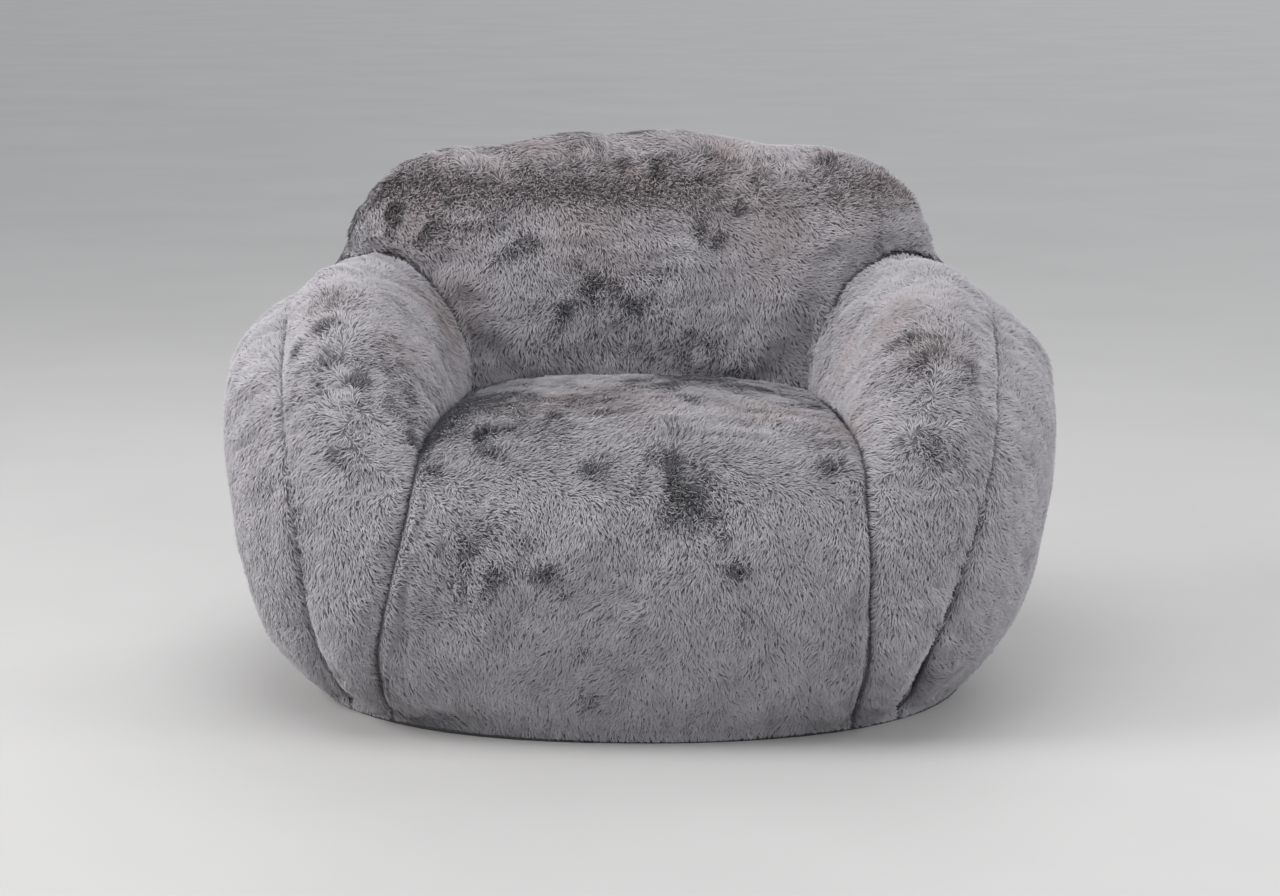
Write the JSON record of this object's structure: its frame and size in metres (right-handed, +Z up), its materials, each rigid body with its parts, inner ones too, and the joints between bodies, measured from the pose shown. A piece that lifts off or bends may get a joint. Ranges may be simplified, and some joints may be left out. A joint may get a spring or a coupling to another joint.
{
  "type": "bean bag chair",
  "caption": "Low rounded lounge chair of faux fur over foam-filled bags, with two fat arms, a rounded back and a rear zip.",
  "frame": {"origin": "on the floor under the middle of the chair's overall box", "axes": "+X to the sitter's left, along the width; -Y to the front; +Z up"},
  "size_m": [1.1702, 0.9695, 0.7442],
  "materials": {
    "fur": "short dense faux fur, light lavender grey with darker roots",
    "base_fabric": "plain woven base cloth",
    "partition_fabric": "plain woven lining",
    "facing_fabric": "plain woven strip",
    "zip_tape": "woven zip tape",
    "zip_teeth": "moulded",
    "zip_metal": "satin",
    "label": "blank woven label",
    "bag_fabric": "non-woven inner bag",
    "foam": "shredded foam"
  },
  "bodies": {
    "root": {"seat_panel": "fur", "backrest_panel": "fur", "back_panel": "fur", "arm_panel_right": "fur", "arm_panel_left": "fur", "side_panel_right": "fur", "side_panel_left": "fur", "base_panel": "base_fabric", "seat_baffle_right": "partition_fabric", "seat_baffle_left": "partition_fabric", "back_baffle": "partition_fabric", "wing_baffle_right": "partition_fabric", "wing_baffle_left": "partition_fabric", "zip_facing": "facing_fabric", "zip_tape_upper": "zip_tape", "zip_tape_lower": "zip_tape", "zip_teeth_upper": "zip_teeth", "zip_teeth_lower": "zip_teeth", "zip_stop_right": "zip_metal", "zip_stop_left": "zip_metal", "care_label": "label", "seat_bag": "bag_fabric", "back_bag": "bag_fabric", "arm_bag_right": "bag_fabric", "arm_bag_left": "bag_fabric", "seat_bag_closure": "bag_fabric", "back_bag_closure": "bag_fabric", "arm_bag_closure_right": "bag_fabric", "arm_bag_closure_left": "bag_fabric", "seat_fill": "foam", "back_fill": "foam", "arm_fill_right": "foam", "arm_fill_left": "foam"},
    "slider": {"zip_slider": "zip_metal", "zip_pull_pin": "zip_metal"},
    "pull": {"zip_pull": "zip_metal"}
  },
  "joints": [
    {"name": "zip_slide", "type": "slide", "parent": "root", "child": "slider", "axis": [1, 0, 0], "range_m": [0, 0.583]},
    {"name": "pull_hinge", "type": "hinge", "parent": "slider", "child": "pull", "pos_m": [-0.2915, 0.4323, 0.0355], "axis": [0, 0, 1], "range_deg": [0, 170]}
  ]
}
